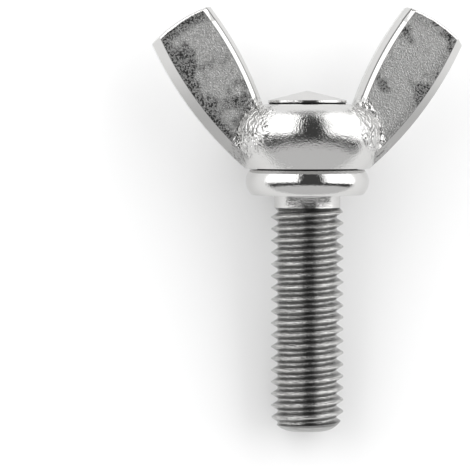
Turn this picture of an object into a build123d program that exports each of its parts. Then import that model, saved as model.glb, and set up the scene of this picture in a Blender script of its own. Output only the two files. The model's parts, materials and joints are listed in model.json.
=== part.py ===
"""Wing screw, M5 x 16, made of two cold-forged pieces pressed together.

All sizes are in millimetres. The screw is drawn upright: Z is its axis, the underside of its
collar is at z = 0, the shank hangs below and the two wings rise above it, spread along X.
lay_down() then turns it to the way a loose wing screw lies on a table, resting on the barrel of
its hub and on the end of its shank, with the wings level.
"""

import math
import os

from build123d import *

# Shank, drawn smooth across the crests of its thread
major_dia = 4.9
neck_dia = 4.48  # the rolled blank, which stays bare under the collar
shank_length = 16.0  # collar's underside to the tip
neck_length = 0.85
neck_flare = 0.25  # small cone where the neck meets the collar
crest_run_in = 0.35  # length over which the first crest rises to its full height
tip_dia = 2.9  # flat end of the shank
tip_height = 1.0  # rounded end below the last full crest
tip_bulge = 0.18

# Collar, forged in one with the shank
collar_dia = 8.35  # across the middle of its rounded edge
collar_height = 1.8
collar_top_dia = 7.8
collar_foot_dia = 7.55
seat_dia = 6.8  # raised middle of the collar's top, which the hub sits on
seam_height = 0.12  # narrow open seam round the seat, between collar and hub

# Stud above the collar, pressed into the hub's bore
bore_dia = 5.6
stud_end_dia = 5.36  # the stud's end is thinner, so a narrow open ring shows round it
ring_depth = 0.5
stud_rise = 0.29  # straight part of the end that stands above the hub's rim
cone_height = 0.62
cone_tip_dia = 0.3
cone_tip_rounding = 1.0

# Hub, forged in one with the wings
hub_height = 4.32
hub_foot_dia = 8.55
belly_dia = 10.0  # the hub's widest place
belly_height = 2.4  # from the hub's foot up to its widest place
rim_dia = 6.4  # outside of the flat ring round the bore's mouth
mouth_chamfer = 0.08

# Wings
wing_span = 21.1
wing_rise = 10.17  # collar's underside to a wing's outer corner
wing_end_width = 4.63
wing_end_slope = 33.4  # degrees between a wing's end and the horizontal
wing_thickness = 2.46
end_bulge = 0.3
inner_bulge = 0.34
outer_bulge = 0.57
edge_land = 0.84  # flat strip left between the bevels, on the side of a wing
inner_bevel = 0.62  # width of a bevel, measured across the wing's face
outer_bevel = 0.6
end_rounding = 0.22
root_inset = 0.05  # a wing's outer side starts this far inside the edge of the hub's foot
root_depth = 0.3  # a wing's inner side ends in the hub, this far under the rim

# Flare of each wing into the hub
flare_radius = 1.5
flare_reach = 5.35  # from the axis to where the flare leaves the wing's flat face
flare_lean = 23  # degrees

near = 0.01  # how closely an edge or corner must sit to be picked out

hub_top = collar_height + hub_height


def turned(outline):
    """Turn a closed outline, drawn in X and Z beside the axis, right round the axis."""
    return revolve(Plane.XZ * make_face(outline), Axis.Z)


def rod(dia, low, high):
    """A cylinder on the axis, from one height to another."""
    return Pos(0, 0, (low + high) / 2) * Cylinder(dia / 2, high - low)


def ring_edges(solid, dia, height):
    """The round edges of this diameter that lie level at this height."""
    rings = solid.edges().filter_by(GeomType.CIRCLE)
    rings = rings.filter_by(lambda edge: abs(edge.radius - dia / 2) < near)
    return rings.filter_by(lambda edge: abs(edge.arc_center.Z - height) < near)


def shank():
    """The threaded length as a smooth rod, with its rounded tip and its run-in at the neck."""
    full_crest = (major_dia / 2, tip_height - shank_length)
    tip = SagittaArc((tip_dia / 2, -shank_length), full_crest, -tip_bulge)
    sides = Polyline(
        full_crest,
        (major_dia / 2, -neck_length - crest_run_in),
        (neck_dia / 2, -neck_length),
        (0, -neck_length),
        (0, -shank_length),
        (tip_dia / 2, -shank_length),
    )
    return turned([tip, sides])


def collar():
    """The round-edged collar, with the bare neck under it."""
    foot = (collar_foot_dia / 2, 0)
    top = (collar_top_dia / 2, collar_height - seam_height)
    bulge = collar_dia / 2 - (foot[0] + top[0]) / 2
    edge = SagittaArc(foot, top, -bulge)
    inside = Polyline(
        top,
        (seat_dia / 2, collar_height - seam_height),
        (seat_dia / 2, collar_height),
        (0, collar_height),
        (0, -neck_length),
        (neck_dia / 2, -neck_length),
        (neck_dia / 2, -neck_flare),
        (neck_dia / 2 + neck_flare, 0),
        foot,
    )
    return turned([edge, inside])


def stud():
    """The part in the hub's bore: a pressed length, a thinner end, and a shallow cone on top."""
    end_height = hub_top + stud_rise
    pressed = rod(bore_dia, collar_height, hub_top - ring_depth)
    end = rod(stud_end_dia, collar_height, end_height)
    cone = Pos(0, 0, end_height + cone_height / 2) * Cone(
        stud_end_dia / 2, cone_tip_dia / 2, cone_height
    )
    solid = pressed + end + cone
    return fillet(ring_edges(solid, cone_tip_dia, end_height + cone_height), cone_tip_rounding)


def collar_screw():
    return shank() + collar() + stud()


def hub_side():
    """The barrel's side: the arc from its foot to its belly, and the one from there to its rim."""
    belly = Vector(belly_dia / 2, collar_height + belly_height)
    lower = TangentArc(belly, (hub_foot_dia / 2, collar_height), tangent=(0, -1))
    upper = TangentArc(belly, (rim_dia / 2, hub_top), tangent=(0, 1))
    return lower, upper


def hub():
    """The barrel between the wings, still without a bore."""
    lower, upper = hub_side()
    inside = Polyline(upper @ 1, (0, hub_top), (0, collar_height), lower @ 1)
    return turned([lower, upper, inside])


def wing_outline():
    """The right wing from the front: the arcs of its end, its inner side and its outer side."""
    slope = math.radians(wing_end_slope)
    outer = Vector(wing_span / 2, wing_rise)
    inner = outer + Vector(-math.cos(slope), math.sin(slope)) * wing_end_width
    inner_root = Vector((bore_dia + rim_dia) / 4, hub_top - root_depth)
    outer_root = Vector(hub_foot_dia / 2 - root_inset, collar_height)
    end = SagittaArc(outer, inner, -end_bulge)
    inside = SagittaArc(inner, inner_root, -inner_bulge)
    outside = SagittaArc(outer_root, outer, -outer_bulge)
    return end, inside, outside


def bevelled(blank, side_arc, width, half_blank):
    """Bevel both long edges of one side of a wing, leaving the flat land between them."""
    side = blank.faces().sort_by_distance((Plane.XZ * side_arc) @ 0.5)[0]
    slope = width / ((wing_thickness - edge_land) / 2)
    depth = half_blank - edge_land / 2
    return chamfer(side.edges().filter_by(GeomType.CIRCLE), depth, depth * slope, reference=side)


def flare_web(half_blank):
    """The space between a wing's flat faces, which flare out in a curve towards the hub."""
    lean = math.radians(flare_lean)
    along = Vector(math.cos(lean), 0, math.sin(lean))
    across = Vector(-math.sin(lean), 0, math.cos(lean))
    plane = Plane(origin=(0, 0, collar_height), x_dir=along, z_dir=across)
    step = flare_reach - flare_radius
    half_wing = wing_thickness / 2
    flare = TangentArc((step, half_blank), (flare_reach, half_wing), tangent=(0, -1))
    other = TangentArc((step, -half_blank), (flare_reach, -half_wing), tangent=(0, 1))
    outer = Polyline(flare @ 1, (wing_span, half_wing), (wing_span, -half_wing), other @ 1)
    inner = Polyline(flare @ 0, (0, half_blank), (0, -half_blank), other @ 0)
    return extrude(plane * make_face([flare, outer, other, inner]), wing_span, both=True)


def wing():
    """The right wing: its outline made thick, bevelled, cut to its flare and rounded at its end."""
    end, inside, outside = wing_outline()
    half_blank = wing_thickness / 2 + flare_radius
    back = Polyline(
        inside @ 1,
        (bore_dia / 2, (inside @ 1).Y),
        (bore_dia / 2, collar_height),
        outside @ 0,
    )
    blank = extrude(Plane.XZ * make_face([end, inside, back, outside]), half_blank, both=True)
    blank = bevelled(blank, inside, inner_bevel, half_blank)
    blank = bevelled(blank, outside, outer_bevel, half_blank)
    solid = blank & flare_web(half_blank)
    end_face = solid.faces().sort_by_distance((Plane.XZ * end) @ 0.5)[0]
    return fillet(end_face.edges(), end_rounding)


def wing_head():
    right = wing()
    left = mirror(right, Plane.YZ)
    head = hub() + right + left - rod(bore_dia, collar_height, hub_top)
    return chamfer(ring_edges(head, bore_dia, hub_top), mouth_chamfer)


def lying_tilt():
    """Degrees by which the axis climbs towards the head once hub and tip both touch a table."""
    lower = hub_side()[0].edge()
    last_crest = Vector(major_dia / 2, tip_height - shank_length)
    reach = lower.arc_center - last_crest
    lean = math.atan2(reach.X, reach.Y) + math.asin(lower.radius / reach.length)
    return math.degrees(lean)


def lay_down(thing):
    return Rot(lying_tilt() - 90, 0, 0) * thing


def main():
    os.makedirs("parts", exist_ok=True)
    screw = lay_down(collar_screw())
    head = lay_down(wing_head())
    box = screw.bounding_box().add(head.bounding_box())
    onto_table = Pos(-box.center().X, -box.center().Y, -box.min.Z)
    export_step(onto_table * screw, "parts/collar_screw.step")
    export_step(onto_table * head, "parts/wing_head.step")
    drawn_frame = Plane(onto_table * lay_down(Location()))
    print("collar's underside is centred at", drawn_frame.origin)
    print("screw axis towards the head", drawn_frame.z_dir)


main()
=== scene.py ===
# %% [markdown]
# Wing screw
#
# A wing screw is tightened by hand: two wings stand out of a round hub, and a threaded shank
# hangs below it. This one is made of two pieces of nickel-plated steel. The head, with the hub
# and the wings, is forged as one. The screw itself has a stud that is pressed up through the hub,
# so its shallow cone shows at the top, and a collar that shows below.
#
# The first cell loads the imported solids.

# %% Load the solids
import json
import math

import bpy
from mathutils import Matrix, Vector

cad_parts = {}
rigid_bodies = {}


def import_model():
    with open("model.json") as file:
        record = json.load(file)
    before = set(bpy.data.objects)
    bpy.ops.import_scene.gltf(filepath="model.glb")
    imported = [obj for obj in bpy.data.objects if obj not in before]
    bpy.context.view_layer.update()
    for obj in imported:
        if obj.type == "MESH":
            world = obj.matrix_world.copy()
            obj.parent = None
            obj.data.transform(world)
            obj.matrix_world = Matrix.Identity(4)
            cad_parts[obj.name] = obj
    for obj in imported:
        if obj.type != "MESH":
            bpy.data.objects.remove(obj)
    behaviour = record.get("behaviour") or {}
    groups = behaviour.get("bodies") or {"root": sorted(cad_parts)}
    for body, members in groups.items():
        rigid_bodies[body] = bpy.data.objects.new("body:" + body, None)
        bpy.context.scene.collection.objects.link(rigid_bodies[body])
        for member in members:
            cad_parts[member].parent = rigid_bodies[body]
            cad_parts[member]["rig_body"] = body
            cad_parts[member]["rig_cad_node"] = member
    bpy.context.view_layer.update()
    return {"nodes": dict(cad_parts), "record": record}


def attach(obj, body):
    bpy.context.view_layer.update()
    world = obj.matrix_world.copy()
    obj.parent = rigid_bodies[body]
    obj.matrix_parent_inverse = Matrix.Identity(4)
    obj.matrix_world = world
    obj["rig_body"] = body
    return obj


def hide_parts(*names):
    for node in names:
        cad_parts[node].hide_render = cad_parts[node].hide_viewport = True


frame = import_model()
print("solids:", sorted(frame["nodes"]))

# %% [markdown]
# A loose wing screw can't stand on its tip. It lies with the barrel of its hub and the end of
# its shank on the table, so its axis climbs a few degrees. A turned piece is easier to make
# upright, round Z, so each one is made that way and laid down when it is finished. The lying
# position comes from the mount on the collar's underside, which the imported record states: its
# axis points from the collar to the tip.

# %% The upright screw's place in the lying frame
MM = 0.001
bearing = next(m for m in frame["record"]["mounts"] if m["name"] == "bearing_face")
up_axis = -Vector(bearing["axis"]).normalized()
seat = Vector((0, bearing["pos_m"][1], bearing["pos_m"][2]))
climb = math.asin(up_axis.z)
lay = Matrix.Translation(seat) @ Matrix.Rotation(climb - math.pi / 2, 4, "X")
stand_up = lay.inverted()
print("the axis climbs", round(math.degrees(climb), 2), "degrees")

# %% [markdown]
# Every profile here is a chain of points beside the axis, given in millimetres as distance from
# the axis and height. It is drawn the way one draws by hand: one point is placed and then
# extruded from corner to corner. A curve object could hold true arcs, but it would have to be
# made a mesh before it could be spun, so an arc is drawn as short steps from the start.

# %% Drawing a profile
def select_only(piece):
    """Leave edit mode, and make this piece the only one that is selected."""
    if bpy.context.mode != "OBJECT":
        bpy.ops.object.mode_set(mode="OBJECT")
    bpy.ops.object.select_all(action="DESELECT")
    piece.select_set(True)
    bpy.context.view_layer.objects.active = piece


def draw_profile(name, points):
    """A new piece: a chain of edges from point to point."""
    start = Vector((points[0][0], 0, points[0][1])) * MM
    bpy.ops.object.select_all(action="DESELECT")
    bpy.ops.mesh.primitive_plane_add(size=MM, location=start)
    piece = bpy.context.object
    piece.name = name
    bpy.ops.object.transform_apply()
    bpy.ops.object.mode_set(mode="EDIT")
    bpy.ops.mesh.select_all(action="SELECT")
    bpy.ops.mesh.merge(type="CENTER")
    for (r0, z0), (r1, z1) in zip(points, points[1:]):
        step = Vector((r1 - r0, 0, z1 - z0)) * MM
        bpy.ops.mesh.extrude_vertices_move(TRANSFORM_OT_translate={"value": step})
    bpy.ops.object.mode_set(mode="OBJECT")
    return piece


print("millimetres in a profile are metres in the mesh, times", MM)

# %% Drawing an arc
def circle(start, end, bulge):
    """Centre and radius of the arc from start to end that bulges to the right of the way."""
    a, b = Vector(start), Vector(end)
    half = (b - a).length / 2
    radius = (half**2 + bulge**2) / (2 * bulge)
    along = (b - a).normalized()
    right = Vector((along.y, -along.x))
    return (a + b) / 2 + right * (bulge - radius), radius


def arc(start, end, bulge, steps):
    """Points along that arc."""
    centre, radius = circle(start, end, bulge)
    chord = Vector(end) - Vector(start)
    along = chord.normalized()
    right = Vector((along.y, -along.x))
    spread = math.asin(chord.length / 2 / radius)
    turns = [-spread + 2 * spread * i / steps for i in range(steps + 1)]
    return [
        tuple(centre + right * radius * math.cos(t) + along * radius * math.sin(t)) for t in turns
    ]


print("an arc over 2 mm that bulges 1 mm has radius", circle((0, -1), (0, 1), 1)[1], "mm")

# %% [markdown]
# The thread is metric: five millimetres across, with a pitch of 0.8. Rolled threads have a
# rounded root, straight flanks that lean 30 degrees, and a narrow crest. A stack of rings with
# that profile would be easy to turn, but it would be no thread. The Screw modifier turns a
# profile round Z while it climbs, so one pitch of it, repeated for every turn, gives the helix.

# %% The thread's profile
pitch = 0.8
crest_radius = 2.46
root_radius = 2.0
crest_width = 0.06
root_width = 0.18
crest_at_x = -1.1  # where a crest passes the +X side, just under the collar
turns_below = 20
crest_drop = 0.02  # how far in, and to either side, a crest's corner is rounded
crest_round = 0.012
root_lift = 0.05  # the same for the root: outwards, into the flank, into the root
into_flank = 0.03
into_root = 0.045

lowest = crest_at_x - turns_below * pitch
flank = (pitch - crest_width - root_width) / 2
crest_start = lowest - crest_width / 2
crest_end = lowest + crest_width / 2
root_start = crest_end + flank
root_end = root_start + root_width
one_pitch = [
    (crest_radius - crest_drop, crest_start - crest_round),
    (crest_radius, crest_start + crest_round),
    (crest_radius, crest_end - crest_round),
    (crest_radius - crest_drop, crest_end + crest_round),
    (root_radius + root_lift, root_start - into_flank),
    (root_radius, root_start + into_root),
    (root_radius, root_end - into_root),
    (root_radius + root_lift, root_end + into_flank),
    (crest_radius - crest_drop, crest_start - crest_round + pitch),
]
thread = draw_profile("thread", one_pitch)
print("points in one pitch:", len(thread.data.vertices), "flank height:", round(flank, 3), "mm")

# %% The helix
thread_turns = 22
turn_steps = 72
doubles_near = 5e-7  # in metres, well under the shortest edge

helix = thread.modifiers.new("helix", "SCREW")
helix.axis = "Z"
helix.angle = math.tau
helix.screw_offset = pitch * MM
helix.iterations = thread_turns
helix.steps = helix.render_steps = turn_steps
helix.use_merge_vertices = True
helix.merge_threshold = doubles_near
bpy.ops.object.modifier_apply(modifier="helix")
print("helix faces:", len(thread.data.polygons))

# %% [markdown]
# The helix is too long at both ends, and open. Deleting whole faces there would leave a ragged
# stair. Bisect cuts it level with a plane, throws the spare length away and fills the cut.

# %% Cut the helix to length
thread_bottom = -15.98
thread_top = -0.6


def cut_level(piece, height, above):
    """Cut away what lies above a height, or below it, and close the cut with a face."""
    select_only(piece)
    bpy.ops.object.mode_set(mode="EDIT")
    bpy.ops.mesh.select_all(action="SELECT")
    bpy.ops.mesh.bisect(
        plane_co=(0, 0, height * MM), plane_no=(0, 0, 1),
        use_fill=True, clear_inner=not above, clear_outer=above, threshold=1e-9,
    )
    bpy.ops.object.mode_set(mode="OBJECT")


def make_closed(piece, near=doubles_near):
    """Merge doubled points and turn every face outwards."""
    select_only(piece)
    bpy.ops.object.mode_set(mode="EDIT")
    bpy.ops.mesh.select_all(action="SELECT")
    bpy.ops.mesh.remove_doubles(threshold=near)
    bpy.ops.mesh.normals_make_consistent(inside=False)
    bpy.ops.object.mode_set(mode="OBJECT")


cut_level(thread, thread_top, above=True)
cut_level(thread, thread_bottom, above=False)
make_closed(thread)
print("thread faces:", len(thread.data.polygons))

# %% [markdown]
# The blank that the thread was rolled on ends in a rounded point with a flat, and the first
# crest rises out of the bare neck over a short way. A turned envelope of that outline trims the
# helix: Boolean, set to intersect, keeps what lies inside both.

# %% Turning and joining
def turned(name, points, steps=128):
    """Turn a profile right round the axis."""
    piece = draw_profile(name, points)
    bpy.ops.object.mode_set(mode="EDIT")
    bpy.ops.mesh.select_all(action="SELECT")
    bpy.ops.mesh.spin(steps=steps, angle=math.tau, center=(0, 0, 0), axis=(0, 0, 1))
    bpy.ops.object.mode_set(mode="OBJECT")
    make_closed(piece)
    return piece


def combine(piece, other, how):
    """Boolean one piece with another, which is used up."""
    select_only(piece)
    joint = piece.modifiers.new("joint", "BOOLEAN")
    joint.operation = how
    joint.solver = "EXACT"
    joint.object = other
    bpy.ops.object.modifier_apply(modifier="joint")
    bpy.data.objects.remove(other)


print("a turned piece has", turned.__defaults__[0], "sides")

# %% Trim the thread
tip_height = -16.0
tip_round = arc((1.45, tip_height), (2.45, -15.0), 0.18, 8)
straight_side = [(2.5, -14.9), (2.5, -1.25)]  # clear of the crests
run_in = [(2.2, -0.85), (2.2, -0.5), (0, -0.5)]
envelope = turned("envelope", [(0, tip_height)] + tip_round + straight_side + run_in)
combine(thread, envelope, "INTERSECT")
print("trimmed thread faces:", len(thread.data.polygons))

# %% [markdown]
# Everything above the thread is turned: the bare neck, the collar with its round edge, the stud
# that is pressed in the hub's bore, its thinner end, and the shallow cone. The collar's top is
# set back a little where it meets the hub, which opens the thin seam between the pieces, and a
# shallow groove round the stud, level with the hub's rim, does the same there. Both are painted
# dark below, as the shade in them. They could be four pieces in a row, but one profile, turned
# once, leaves no joints between them to hide.

# %% Turn the collar and the stud
collar_radius = 3.9
seam_floor = 1.68
seam_radius = 3.4
collar_height = 1.8
stud_radius = 2.8
end_radius = 2.68
groove_bottom = 2.6
rim_height = 6.12
groove_low = rim_height - 0.5
groove_high = rim_height + 0.1
end_foot = rim_height + 0.12
end_height = rim_height + 0.29
end_corner = 0.03
cone_rise = 0.62

neck = [(0, -1.5), (1.9, -1.5), (1.9, -1.2), (2.24, -0.86), (2.24, -0.16)]
neck_flare = [(2.27, -0.06), (2.33, -0.015), (2.42, 0)]
collar_edge = arc((3.775, 0), (collar_radius, seam_floor), 0.3375, 14)
cone_top = arc((0.24, end_height + cone_rise - 0.036), (0, end_height + cone_rise), 0.006, 3)
collar = turned(
    "collar",
    neck
    + neck_flare
    + collar_edge
    + [(seam_radius, seam_floor), (seam_radius, collar_height), (stud_radius, collar_height)]
    + [(stud_radius, groove_low), (groove_bottom, groove_low)]
    + [(groove_bottom, groove_high), (end_radius, end_foot)]
    + [(end_radius, end_height - end_corner), (end_radius - end_corner, end_height)]
    + cone_top,
)
print("collar and stud faces:", len(collar.data.polygons))

# %% Join the screw
combine(thread, collar, "UNION")
screw = thread
screw.name = "threaded_screw"
make_closed(screw)
print("screw faces:", len(screw.data.polygons))

# %% [markdown]
# A turned piece is finished once its sharp corners are marked, so that smooth shading stops at
# them, and it is laid down. Its place goes into its mesh, so the object itself stays at the
# origin, unturned.

# %% Lay the screw down
def lay_down(piece):
    """Turn an upright piece and move it to where it lies on the table."""
    select_only(piece)
    piece.matrix_world = lay
    bpy.ops.object.transform_apply()


def finish_shading(piece, corner):
    """Shade smooth, but keep corners that are sharper than this many degrees."""
    select_only(piece)
    bpy.ops.object.shade_smooth_by_angle(angle=math.radians(corner))


lay_down(screw)
finish_shading(screw, 32)
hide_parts("collar_screw")
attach(screw, "root")
print("screw triangles:", sum(len(f.vertices) - 2 for f in screw.data.polygons))

# %% [markdown]
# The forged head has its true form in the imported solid: a hub, two wings with their bevels, and
# the flare between them. Modelling it again could only drift from that form. The solid's mesh is
# made of loose triangles, so a copy of it is merged, to be shaded smooth and worked on, and the
# copy stands for the solid. Its old shading normals belong to the loose triangles, so they go.

# %% Copy the forged head
select_only(frame["nodes"]["wing_head"])
bpy.ops.object.duplicate()
head = bpy.context.object
head.name = "forged_wings"
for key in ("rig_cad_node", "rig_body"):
    if key in head:
        del head[key]
select_only(head)
bpy.ops.object.parent_clear(type="CLEAR_KEEP_TRANSFORM")
head.data.materials.clear()
make_closed(head, near=1e-6)
bpy.ops.mesh.customdata_custom_splitnormals_clear()
print("head faces:", len(head.data.polygons))

# %% [markdown]
# Each wing has a ridge along its inner bevel: a shallow facet next to the wing's face, then a
# steep one down to the narrow land between the two faces. It could be drawn as a bump, but a bump
# can't be seen from the side, so it is modelled. The edges that run across the bevel are picked
# by where they start and end, each is cut in two, and their middles are lifted off the bevel.

# %% Where the inner bevels are
wing_outer = (10.55, 10.17)  # the corners of a wing's outline, out from the axis and up
wing_inner = (6.685, 12.719)
inner_root = (3.0, 5.82)
inner_bulge = 0.34
inner_bevel = 0.62
half_wing = 1.23
half_land = 0.42
near_side = 0.02
near_level = 0.01
inner_centre, inner_radius = circle(wing_inner, inner_root, inner_bulge)


def past_inner_side(place):
    """How far an upright spot is beyond a wing's inner side; less than 0 is on the wing."""
    return math.hypot(abs(place.x) - inner_centre.x, place.z - inner_centre.y) - inner_radius


def bevel_rail(vertex):
    """0 on the face's rim of an inner bevel, 1 on its land's rim, None elsewhere."""
    place = stand_up @ head.data.vertices[vertex].co / MM
    for rail, from_land, level in ((0, inner_bevel, half_wing), (1, 0, half_land)):
        on_side = abs(past_inner_side(place) + from_land) < near_side
        if on_side and abs(abs(place.y) - level) < near_level:
            return rail
    return None


print("radius of a wing's inner side:", round(inner_radius, 2), "mm")

# %% Cut the inner bevels in two
bpy.ops.object.mode_set(mode="EDIT")
bpy.ops.mesh.select_mode(type="EDGE")
bpy.ops.mesh.select_all(action="DESELECT")
bpy.ops.object.mode_set(mode="OBJECT")
across = [e for e in head.data.edges if {bevel_rail(v) for v in e.vertices} == {0, 1}]
for edge in across:
    edge.select = True
already = len(head.data.vertices)
bpy.ops.object.mode_set(mode="EDIT")
bpy.ops.mesh.subdivide(number_cuts=1)
bpy.ops.object.mode_set(mode="OBJECT")
print("edges across the inner bevels:", len(across), "new:", len(head.data.vertices) - already)

# %% [markdown]
# If only the new points were lifted, the wing's rounded end, which has none, would stay behind
# and leave a step. So every point near the bevel is lifted by its share: all of the lift halfway
# across the bevel, and none at its rims, nor in the middle of the wing's thickness.

# %% Lift the ridge
ridge_lift = 0.25
ridge_foot = 6.0  # below this is the hub

lifted = 0
for vertex in head.data.vertices:
    place = stand_up @ vertex.co / MM
    share = 1 - abs(2 * past_inner_side(place) / inner_bevel + 1)
    share *= min(max((abs(place.y) - half_land / 2) / (half_land / 2), 0), 1)
    if share > 0 and place.z > ridge_foot:
        lift = math.copysign(ridge_lift * share * MM, place.y)
        vertex.co += lay.to_3x3() @ Vector((0, lift, 0))
        lifted += 1
print("points lifted onto the ridge:", lifted)

# %% [markdown]
# Long, thin triangles run the whole length of a wing's face, and smooth shading smears across
# them. Bisect, with nothing cleared, cuts two rings of edges round each wing just short of its
# end, and they hold the shading there. Weighted Normal then lets the large flat faces decide how
# the small bevels next to them are shaded.

# %% Cut and shade the head
wing_slope = math.radians(33.4)
cuts_from_end = (0.35, 0.8)
end_middle = Vector(((wing_outer[0] + wing_inner[0]) / 2, 0, (wing_outer[1] + wing_inner[1]) / 2))

bpy.ops.object.mode_set(mode="EDIT")
for side in (-1, 1):
    outwards = Vector((side * math.sin(wing_slope), 0, math.cos(wing_slope)))
    for depth in cuts_from_end:
        middle = Vector((side * end_middle.x, 0, end_middle.z)) - outwards * depth
        bpy.ops.mesh.select_all(action="SELECT")
        bpy.ops.mesh.bisect(
            plane_co=lay @ (middle * MM), plane_no=lay.to_3x3() @ outwards, threshold=1e-9,
        )
bpy.ops.object.mode_set(mode="OBJECT")
finish_shading(head, 24)
faces_first = head.modifiers.new("flat_faces_first", "WEIGHTED_NORMAL")
faces_first.keep_sharp = True
bpy.ops.object.modifier_apply(modifier="flat_faces_first")
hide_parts("wing_head")
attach(head, "root")
print("head triangles:", sum(len(f.vertices) - 2 for f in head.data.polygons))

# %% [markdown]
# Nickel plate is a bright, nearly neutral metal. The plating follows the surface under it, so
# what the reflections show is the skin of the steel: smooth where it was turned, a fine hammered
# grain on the wings' faces, and small creases where each wing was folded out of the hub. Painted
# images could show that, but they stretch over a round form, so it is all worked out by nodes.
# These helpers keep a long row of nodes short to write.

# %% Helpers for node trees
def node(tree, kind, **values):
    """Add a node; a value sets the input socket of that name, or else the node's own setting."""
    made = tree.nodes.new(kind)
    for name, value in values.items():
        socket = made.inputs.get(name.replace("_", " "))
        if socket is not None:
            socket.default_value = value
        else:
            setattr(made, name, value)
    return made


def math_node(tree, operation, first, *others):
    """Math on numbers and sockets; more than two are taken in from the left, a node for each."""
    for second in others or (0,):
        made = node(tree, "ShaderNodeMath", operation=operation)
        for socket, value in zip(made.inputs, (first, second)):
            if isinstance(value, (int, float)):
                socket.default_value = value
            else:
                tree.links.new(value, socket)
        first = made.outputs[0]
    return first


def ramp(tree, source, low, high, start, end):
    """A smooth change from start to end as the source goes from low to high."""
    made = node(tree, "ShaderNodeMapRange", interpolation_type="SMOOTHSTEP")
    for key, value in (("From Min", low), ("From Max", high), ("To Min", start), ("To Max", end)):
        made.inputs[key].default_value = value
    tree.links.new(source, made.inputs["Value"])
    return made.outputs["Result"]


print("helpers for nodes:", node.__name__, math_node.__name__, ramp.__name__)

# %% [markdown]
# All of the nickel is one skin, with more of this or less of that from piece to piece. So it is
# one node group. Its inputs say how high each kind of relief is, in millimetres, and it puts out
# the height and the masks that a finish may colour by. The pattern has to know where it is on the
# screw, so a Mapping node first turns each spot back to the upright screw, in millimetres.

# %% The skin's places
skin = bpy.data.node_groups.new("plated_skin", "ShaderNodeTree")
for name in ("Grain", "Waves", "Creases", "Streaks"):
    skin.interface.new_socket(name, in_out="INPUT", socket_type="NodeSocketFloat")
for name in ("Height", "Flat", "Tone", "Radius", "Streak"):
    skin.interface.new_socket(name, in_out="OUTPUT", socket_type="NodeSocketFloat")
take = skin.nodes.new("NodeGroupInput")
give = skin.nodes.new("NodeGroupOutput")
coordinates = skin.nodes.new("ShaderNodeTexCoord")
upright = node(skin, "ShaderNodeMapping", vector_type="TEXTURE")
upright.inputs["Location"].default_value = seat
upright.inputs["Rotation"].default_value = (climb - math.pi / 2, 0, 0)
upright.inputs["Scale"].default_value = (MM, MM, MM)
skin.links.new(coordinates.outputs["Object"], upright.inputs["Vector"])
spot = upright.outputs["Vector"]
parts = skin.nodes.new("ShaderNodeSeparateXYZ")
skin.links.new(spot, parts.inputs[0])
to_the_right = parts.outputs["X"]
out = math_node(skin, "ABSOLUTE", to_the_right)
rise = parts.outputs["Z"]
round_x = math_node(skin, "MULTIPLY", out, out)
round_y = math_node(skin, "MULTIPLY", parts.outputs["Y"], parts.outputs["Y"])
radius = math_node(skin, "SQRT", math_node(skin, "ADD", round_x, round_y))
skin.links.new(radius, give.inputs["Radius"])
print("skin sockets:", [item.name for item in skin.interface.items_tree])

# %% [markdown]
# A wing's broad face is told from its bevels by its normal, which stands straight off the wing
# there. How far out a spot is gets measured along a line that leans a little, because the wings
# leave the hub at a slant, so the masks fade in along the line where they do.

# %% The wings' broad faces
wing_lean = math.radians(23)
hub_foot = 1.8

facing = node(skin, "ShaderNodeVectorMath", operation="DOT_PRODUCT")
facing.inputs[1].default_value = lay.to_3x3() @ Vector((0, 1, 0))
surface = skin.nodes.new("ShaderNodeNewGeometry")
skin.links.new(surface.outputs["Normal"], facing.inputs[0])
level = math_node(skin, "ABSOLUTE", facing.outputs["Value"])
reach = math_node(
    skin, "ADD",
    math_node(skin, "MULTIPLY", out, math.cos(wing_lean)),
    math_node(skin, "MULTIPLY", math_node(skin, "SUBTRACT", rise, hub_foot), math.sin(wing_lean)),
)
on_wing = ramp(skin, reach, 3.9, 4.5, 0, 1)
on_panel = ramp(skin, reach, 5.1, 6.0, 0, 1)
flat = math_node(skin, "MULTIPLY", ramp(skin, level, 0.94, 0.985, 0, 1), on_panel)
skin.links.new(flat, give.inputs["Flat"])
print("skin nodes so far:", len(skin.nodes))

# %% [markdown]
# A wing's outline is three arcs, each of them part of a circle. The distance in from each arc
# tells how far a spot is from the wing's edge, so wear and dirt can follow the edges. An edge
# could also be found by its bend, but a distance gives a line of any width, at any place.

# %% The wing's edges
outer_root = (4.225, 1.8)
outer_bulge = 0.57
outer_bevel = 0.6
end_bulge = 0.3
end_rounding = 0.22

wing_spot = skin.nodes.new("ShaderNodeCombineXYZ")
skin.links.new(out, wing_spot.inputs["X"])
skin.links.new(rise, wing_spot.inputs["Z"])


def inside_arc(start, end, bulge, margin):
    """How far in from an arc a spot lies, less a margin."""
    centre, arc_radius = circle(start, end, bulge)
    away = node(skin, "ShaderNodeVectorMath", operation="DISTANCE")
    away.inputs[1].default_value = (centre.x, 0, centre.y)
    skin.links.new(wing_spot.outputs[0], away.inputs[0])
    return math_node(skin, "SUBTRACT", arc_radius - margin, away.outputs["Value"])


from_inner = inside_arc(wing_inner, inner_root, inner_bulge, inner_bevel)
from_outer = inside_arc(outer_root, wing_outer, outer_bulge, outer_bevel)
from_end = inside_arc(wing_outer, wing_inner, end_bulge, end_rounding)
from_edge = math_node(skin, "MINIMUM", from_inner, from_outer, from_end)
print("skin nodes so far:", len(skin.nodes))

# %% [markdown]
# Four kinds of relief add up to the skin's height. Grain is fine noise, full on the broad faces
# and slight on round ones, and waves are slow, shallow dents. All of the relief is too small to
# be worth faces of its own, so the finishes use it as a bump.

# %% The skin's grain and waves
grain_scale = 9.0
wave_scale = 0.4
round_grain = 0.33  # the share of the grain that round places keep


def noise(tree, vector, scale, detail):
    """Soft random blotches, smaller as the scale grows."""
    made = node(tree, "ShaderNodeTexNoise", Scale=scale, Detail=detail, Roughness=0.6)
    tree.links.new(vector, made.inputs["Vector"])
    return made.outputs["Fac"]


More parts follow.
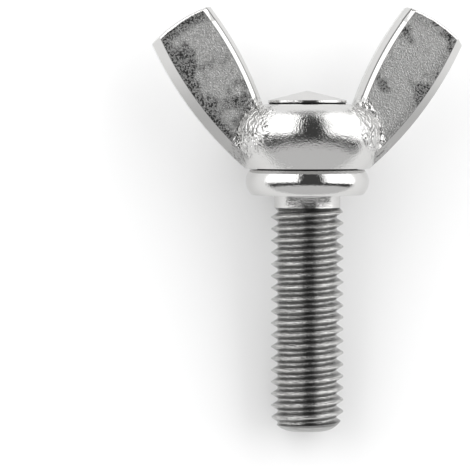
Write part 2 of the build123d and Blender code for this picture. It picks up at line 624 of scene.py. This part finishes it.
fine = noise(skin, spot, grain_scale, 2)
grain_share = ramp(skin, flat, 0, 1, round_grain, 1)
grain_height = math_node(skin, "MULTIPLY", fine, grain_share, take.outputs["Grain"])
wave_height = math_node(skin, "MULTIPLY", noise(skin, spot, wave_scale, 2), take.outputs["Waves"])
print("grain and wave scales:", grain_scale, wave_scale)

# %% [markdown]
# Where a wing was folded out of the hub, the steel is creased. Voronoi's cells meet in sharp
# creases, but they look like tiles, so noise first bends the places that they are drawn at. A
# mask keeps them to the fold.

# %% The skin's creases
crease_scale = 2.4
wander_scale = 1.2
wander_far = 1.6

fold = math_node(
    skin, "MULTIPLY",
    ramp(skin, reach, 3.7, 4.2, 0, 1),
    ramp(skin, reach, 5.2, 5.9, 1, 0),
    ramp(skin, rise, 6.2, 6.9, 1, 0),
)
bent = node(skin, "ShaderNodeVectorMath", operation="MULTIPLY_ADD")
wander = node(skin, "ShaderNodeTexNoise", Scale=wander_scale, Detail=2)
skin.links.new(spot, wander.inputs["Vector"])
skin.links.new(wander.outputs["Color"], bent.inputs[0])
bent.inputs[1].default_value = (wander_far, wander_far, wander_far)
skin.links.new(spot, bent.inputs[2])
cells = node(skin, "ShaderNodeTexVoronoi", Scale=crease_scale, feature="F1")
skin.links.new(bent.outputs[0], cells.inputs["Vector"])
crease = cells.outputs["Distance"]
fold_height = math_node(skin, "MULTIPLY", crease, fold, take.outputs["Creases"])
print("crease scale:", crease_scale)

# %% [markdown]
# The rolled thread has streaks that run round the axis, and the bare neck has faint ones. They
# are noise that is squeezed along the axis, which leaves its blotches long and thin the other
# way. Then the four heights are added.

# %% The skin's streaks and its height
squeezed = (1.3, 1.3, 15)

drawn_out = node(skin, "ShaderNodeVectorMath", operation="MULTIPLY")
drawn_out.inputs[1].default_value = squeezed
skin.links.new(spot, drawn_out.inputs[0])
streak = noise(skin, drawn_out.outputs[0], 1.0, 2)
skin.links.new(streak, give.inputs["Streak"])
streak_height = math_node(skin, "MULTIPLY", streak, take.outputs["Streaks"])

height = math_node(skin, "ADD", grain_height, wave_height, fold_height, streak_height)
skin.links.new(height, give.inputs["Height"])
print("skin nodes so far:", len(skin.nodes))

# %% [markdown]
# The pits of the broad faces are painted darker, as the shade that falls in them. They are
# darker still in patches and near the outer edge and the end, more on the left wing than on the
# right. Each darkening is a mask from 0 to 1. The darkest wins, by Maximum, where adding them up
# would pile overlapping marks to black.

# %% The darkened pits on the broad faces
pit_scale = 7.5
patch_scale = 0.5
# the darkening lessens from the left wing towards the right
lighter_rightwards = 0.006  # per millimetre
least_dark = 0.45
most_dark = 0.96
# painted shade: how dark the pits are outside the patches
pit_shade_depth = 0.22  # how dark the pits are where there is no dirt

pits = ramp(skin, noise(skin, spot, pit_scale, 2), 0.42, 0.54, 1, 0)
# blotches that make the broad faces darker in patches
patchy_noise = math_node(
    skin, "SUBTRACT",
    noise(skin, spot, patch_scale, 2),
    math_node(skin, "MULTIPLY", to_the_right, lighter_rightwards),
)
patches = ramp(skin, patchy_noise, 0.45, 0.62, 0, 1)
near_edge = math_node(
    skin, "MULTIPLY",
    ramp(skin, math_node(skin, "MINIMUM", from_outer, from_end), 0.2, 1.0, 1, 0),
    ramp(skin, to_the_right, -5, 5, 1, 0.45),
)
dark_patches = math_node(skin, "MULTIPLY", math_node(skin, "MAXIMUM", patches, near_edge), flat)
# the pits are painted darker as shade, more in the patches and near the edges
darkened_pits = math_node(skin, "MULTIPLY", dark_patches, ramp(skin, pits, 0, 1, least_dark, most_dark))
# painted shade in the pits, all over the broad faces
painted_pit_shade = math_node(skin, "MULTIPLY", pits, flat, pit_shade_depth)
print("pit and patch scales:", pit_scale, patch_scale)

# %% [markdown]
# Thin dark lines are painted along the forging's sharp bends, as the shade that they show: the
# middle of the inner bevel, where the ridge is, and the border of each broad face. The creases
# are painted a little darker too, as shade, and the outer bevel is darker, most of all near the
# hub.

# %% The dark lines and the skin's tone
ridge_middle = 0.31
ridge_dark = 0.8
border_dark = 0.6
outer_dark = 0.42
crease_shade = 0.25

# painted shade in the creases
crease_painted_shade = math_node(skin, "MULTIPLY", fold, ramp(skin, crease, 0.15, 0.5, crease_shade, 0))
from_ridge = math_node(skin, "ABSOLUTE", math_node(skin, "ADD", from_inner, ridge_middle))
# painted shade along the ridge in the middle of the inner bevel
ridge_shade_line = math_node(
    skin, "MULTIPLY",
    ramp(skin, from_ridge, 0.02, 0.06, ridge_dark, 0),
    ramp(skin, rise, 6.2, 6.6, 0, 1),
)
from_border = math_node(skin, "ABSOLUTE", from_edge)
# painted shade along the border of each broad face
border_shade_line = math_node(skin, "MULTIPLY", ramp(skin, from_border, 0.01, 0.05, border_dark, 0), on_wing)
rim_tone = math_node(
    skin, "MULTIPLY",
    ramp(skin, from_outer, -0.05, 0, outer_dark, 0),
    ramp(skin, rise, 5.0, 9.5, 1, 0),
    on_wing,
)
dark = math_node(
    skin, "MAXIMUM", darkened_pits, painted_pit_shade, crease_painted_shade, ridge_shade_line, border_shade_line, rim_tone,
)
skin.links.new(math_node(skin, "SUBTRACT", 1, dark), give.inputs["Tone"])
print("nodes in the whole skin:", len(skin.nodes))

# %% [markdown]
# A finish is a Principled shader, fully metallic, with the skin's height as its bump. A roughness
# that is the same all over is set on the shader itself. The other numbers say how high the skin's
# grain, waves, creases and streaks are on this finish, in millimetres.

# %% A nickel finish
bright = (0.62, 0.616, 0.608)


def nickel(name, roughness, grain, waves, creases=0, streaks=0):
    """Plated metal with the skin's height as its bump, and the skin node to take masks from."""
    material = bpy.data.materials.new(name)
    material.use_nodes = True
    tree = material.node_tree
    metal = tree.nodes["Principled BSDF"]
    metal.inputs["Base Color"].default_value = (*bright, 1)
    metal.inputs["Metallic"].default_value = 1
    metal.inputs["Roughness"].default_value = roughness
    relief = tree.nodes.new("ShaderNodeGroup")
    relief.node_tree = skin
    relief.inputs["Grain"].default_value = grain
    relief.inputs["Waves"].default_value = waves
    relief.inputs["Creases"].default_value = creases
    relief.inputs["Streaks"].default_value = streaks
    bump = node(tree, "ShaderNodeBump", Strength=1, Distance=MM)
    tree.links.new(relief.outputs["Height"], bump.inputs["Height"])
    tree.links.new(bump.outputs["Normal"], metal.inputs["Normal"])
    return material, tree, metal, relief


def tone_between(tree, metal, mask, dark):
    """Colour the metal from a dark tone to the bright one as the mask goes from 0 to 1."""
    mix = node(tree, "ShaderNodeMix", data_type="RGBA")
    mix.inputs[6].default_value = (*dark, 1)
    mix.inputs[7].default_value = (*bright, 1)
    tree.links.new(mask, mix.inputs[0])
    tree.links.new(mix.outputs[2], metal.inputs["Base Color"])


print("bright nickel:", bright)

# %% [markdown]
# The forged head shines where it is round, and is dull on its broad faces, where the grain breaks
# up the reflections. So its roughness follows the mask of the broad faces, and its colour goes
# nearly to black where the painted shade and the darker patches are deepest.

# %% The head's finish
polished = 0.08
dull = 0.36
# the darkest of the painted shade and the darker patches
darkest_tone = (0.03, 0.03, 0.03)

forged_nickel, tree, metal, relief = nickel("forged_nickel", polished, 0.055, 0.06, 0.12)
dullness = ramp(tree, relief.outputs["Flat"], 0, 1, polished, dull)
tree.links.new(dullness, metal.inputs["Roughness"])
tone_between(tree, metal, relief.outputs["Tone"], darkest_tone)
head.data.materials.append(forged_nickel)
print("head finish:", head.data.materials[0].name)

# %% [markdown]
# The screw has four finishes. The collar and the stud are turned and shine. The thread's colour
# follows the distance from the axis: a painted highlight on its crests, a paler one in the bottom
# of its grooves, and painted shade on its flanks. The bare neck is a little duller than the
# collar and streaked. The seams are painted almost black, for the shade in them and some oil and
# dirt.

# %% The screw's finishes
# painted shade on the thread's flanks
flank_shade_tone = (0.2, 0.2, 0.197)
# painted shade in the seams, with some oil and dirt
seam_shade_tone = (0.02, 0.02, 0.02)

turned_nickel, *_ = nickel("turned_nickel", polished, 0.03, 0.015)

thread_nickel, tree, metal, relief = nickel("thread_nickel", 0.24, 0.02, 0.02, streaks=0.03)
# painted highlights: bright on the crests, paler in the bottom of the grooves
crest_highlight = ramp(tree, relief.outputs["Radius"], 2.2, 2.36, 0, 1)
root = ramp(tree, relief.outputs["Radius"], 2.01, 2.1, 0.55, 0)
clean = ramp(tree, relief.outputs["Streak"], 0.42, 0.58, 0.45, 1)
painted_thread_light = math_node(tree, "MULTIPLY", math_node(tree, "MAXIMUM", crest_highlight, root), clean)
tone_between(tree, metal, painted_thread_light, flank_shade_tone)

drawn_nickel, *_ = nickel("drawn_nickel", 0.2, 0.02, 0.02, streaks=0.012)

# the seams' finish: painted shade, nearly black
seam_painted_shade, _, metal, _ = nickel("seam_painted_shade", 0.5, 0.06, 0)
metal.inputs["Base Color"].default_value = (*seam_shade_tone, 1)
for material in (turned_nickel, drawn_nickel, thread_nickel, seam_painted_shade):
    screw.data.materials.append(material)
print("screw finishes:", [m.name for m in screw.data.materials])

# %% [markdown]
# One mesh can hold several finishes, because each of its faces has a material index. Every face
# of the screw gets the finish of its place, by the height of its middle and its distance from
# the axis, measured on the upright screw.

# %% Which face has which finish
TURNED, DRAWN, THREAD, SEAM_SHADE = range(4)
thread_starts = -0.87
neck_ends = -0.02
collar_seam = (1.67, 1.79)
stud_groove = (5.6, 6.235)
inside_groove = 2.4


def finish_at(level, off_axis):
    """The finish at this height and this distance from the axis."""
    if level < thread_starts:
        return THREAD
    if level < neck_ends:
        return DRAWN
    # painted shade in the seam under the hub
    if collar_seam[0] < level < collar_seam[1] and off_axis < collar_radius:
        return SEAM_SHADE
    # painted shade in the groove round the stud
    if stud_groove[0] < level < stud_groove[1] and off_axis > inside_groove:
        return SEAM_SHADE
    return TURNED


for face in screw.data.polygons:
    middle = stand_up @ face.center / MM
    face.material_index = finish_at(middle.z, math.hypot(middle.x, middle.y))
indexes = [face.material_index for face in screw.data.polygons]
print("faces turned, drawn, thread, seam:", [indexes.count(i) for i in range(4)])

# %% [markdown]
# The screw lies on a plain, pale table. It is much larger than the screw, so that no edge of it
# shows in the metal, and dull, so that it mirrors nothing itself.

# %% The table
table_size = 6
table_tone = (0.93, 0.93, 0.93, 1)

bpy.ops.object.select_all(action="DESELECT")
bpy.ops.mesh.primitive_plane_add(size=table_size, location=(0, 0, 0))
table = bpy.context.object
table.name = "table"
cloth = bpy.data.materials.new("table_white")
cloth.use_nodes = True
matt = cloth.node_tree.nodes["Principled BSDF"]
matt.inputs["Base Color"].default_value = table_tone
matt.inputs["Roughness"].default_value = 0.9
table.data.materials.append(cloth)
print("table size in metres:", [round(x, 2) for x in table.dimensions])

# %% [markdown]
# Polished metal shows what stands round it, so the surround is half of how it looks. It is an
# even light grey, with three dark places: a wide one overhead, between the soft boxes, a narrow
# one towards the screw's tip, and a fainter one behind the head. They give the dark band between
# the two bright ones on every round form. A dark card held there would do that too, but it would
# shade the table. Light Path's Is Glossy Ray keeps these dark places to the reflections.

# %% The surround
world = bpy.data.worlds.new("studio")
bpy.context.scene.world = world
world.use_nodes = True
sky = world.node_tree
ground = sky.nodes["Background"]
look = sky.nodes.new("ShaderNodeTexCoord")
split = sky.nodes.new("ShaderNodeSeparateXYZ")
sky.links.new(look.outputs["Generated"], split.inputs[0])
look_x, look_y, look_z = split.outputs
print("the surround is told by the way one looks:", [socket.name for socket in split.outputs])

# %% The surround's dark places
overhead_middle = 0.11
behind_tip = 0.29
pale = (0.74, 0.74, 0.74, 1)
dim_tone = (0.07, 0.07, 0.07, 1)

slant = math_node(sky, "DIVIDE", look_x, math_node(sky, "MAXIMUM", look_z, 0.01))
from_middle = math_node(sky, "ABSOLUTE", math_node(sky, "SUBTRACT", slant, overhead_middle))
overhead = math_node(
    sky, "MULTIPLY",
    ramp(sky, from_middle, 0.52, 0.6, 1, 0),
    ramp(sky, look_y, -0.34, -0.22, 0, 1),
    ramp(sky, look_y, 0.90, 0.97, 1, 0),
)
from_strip = math_node(sky, "ABSOLUTE", math_node(sky, "ADD", look_y, behind_tip))
strip = ramp(sky, from_strip, 0.1, 0.16, 1, 0)
above_table = ramp(sky, look_z, 0.0, 0.1, 0, 1)
dim = math_node(sky, "MULTIPLY", math_node(sky, "MAXIMUM", overhead, strip), above_table)
dim = math_node(sky, "MAXIMUM", dim, ramp(sky, look_y, 0.8, 0.94, 0, 0.36))
ray = sky.nodes.new("ShaderNodeLightPath")
dim = math_node(sky, "MULTIPLY", dim, ray.outputs["Is Glossy Ray"])
shade = node(sky, "ShaderNodeMix", data_type="RGBA")
shade.inputs[6].default_value = pale
shade.inputs[7].default_value = dim_tone
sky.links.new(dim, shade.inputs[0])
sky.links.new(shade.outputs[2], ground.inputs["Color"])
print("nodes in the surround:", len(sky.nodes))

# %% [markdown]
# Two large soft boxes lean in over the screw, one on either side. On small, polished things they
# give broad highlights with clean edges, where a bare lamp gives only a dot. They hang a little
# past the head, so that the wings' bevels catch them too. Their power follows from their size, so
# a larger box looks just as bright.

# %% Soft boxes
box_long = 3.6
box_wide = 1.68
box_bright = 1.46
box_far = 1.2
box_lean = math.radians(58)


def soft_box(name, side, along):
    """A soft box on one side, facing the middle, then moved along towards the head."""
    direction = Vector((side * math.sin(box_lean), 0, math.cos(box_lean)))
    lamp = bpy.data.lights.new(name, "AREA")
    lamp.shape = "RECTANGLE"
    lamp.size = box_long
    lamp.size_y = box_wide
    lamp.energy = box_bright * math.pi * lamp.size * lamp.size_y
    box = bpy.data.objects.new(name, lamp)
    bpy.context.scene.collection.objects.link(box)
    box.location = direction * box_far + Vector((0, along, 0))
    box.rotation_mode = "QUATERNION"
    box.rotation_quaternion = direction.to_track_quat("Z", "Y")
    return box


boxes = [soft_box("soft_box_left", -1, 1.75), soft_box("soft_box_right", 1, 1.6)]
bpy.context.scene.view_settings.view_transform = "Standard"
print("soft boxes:", [(box.name, round(box.data.energy, 1)) for box in boxes])

# %% [markdown]
# The camera looks down on the lying screw, straight at its front and a little from the left. From
# far away through a long lens, the near and far parts keep their true sizes. Its place is chosen
# beside the upright screw, in millimetres, and laid down with it.

# %% Camera
sight_turn = math.radians(7.5)
sight_far = 195
sight_height = 5.5
aim_left = 4.9
aim_low = 2.74
view_width = 31.864
sensor_width = 36

eye = lay @ (Vector((
    -math.sin(sight_turn) * sight_far,
    -math.cos(sight_turn) * sight_far,
    sight_height,
)) * MM)
across = Vector((math.cos(sight_turn), -math.sin(sight_turn), 0))
aim = lay @ ((across * -aim_left + Vector((0, 0, -aim_low))) * MM)
lens = bpy.data.cameras.new("camera")
camera = bpy.data.objects.new("camera", lens)
bpy.context.scene.collection.objects.link(camera)
back = (eye - aim).normalized()
right = (up_axis.cross(back)).normalized()
top = back.cross(right)
camera.matrix_world = Matrix.Translation(eye) @ Matrix((right, top, back)).transposed().to_4x4()
lens.sensor_width = sensor_width
lens.lens = sensor_width * sight_far / view_width
lens.clip_start = 0.01
bpy.context.scene.camera = camera
print("camera:", round((eye - aim).length / MM, 1), "mm away, lens", round(lens.lens, 1), "mm")

# %% [markdown]
# Dressing the solids must not change the part's size. The last line only updates the scene.

# %% The end
bpy.context.view_layer.update()
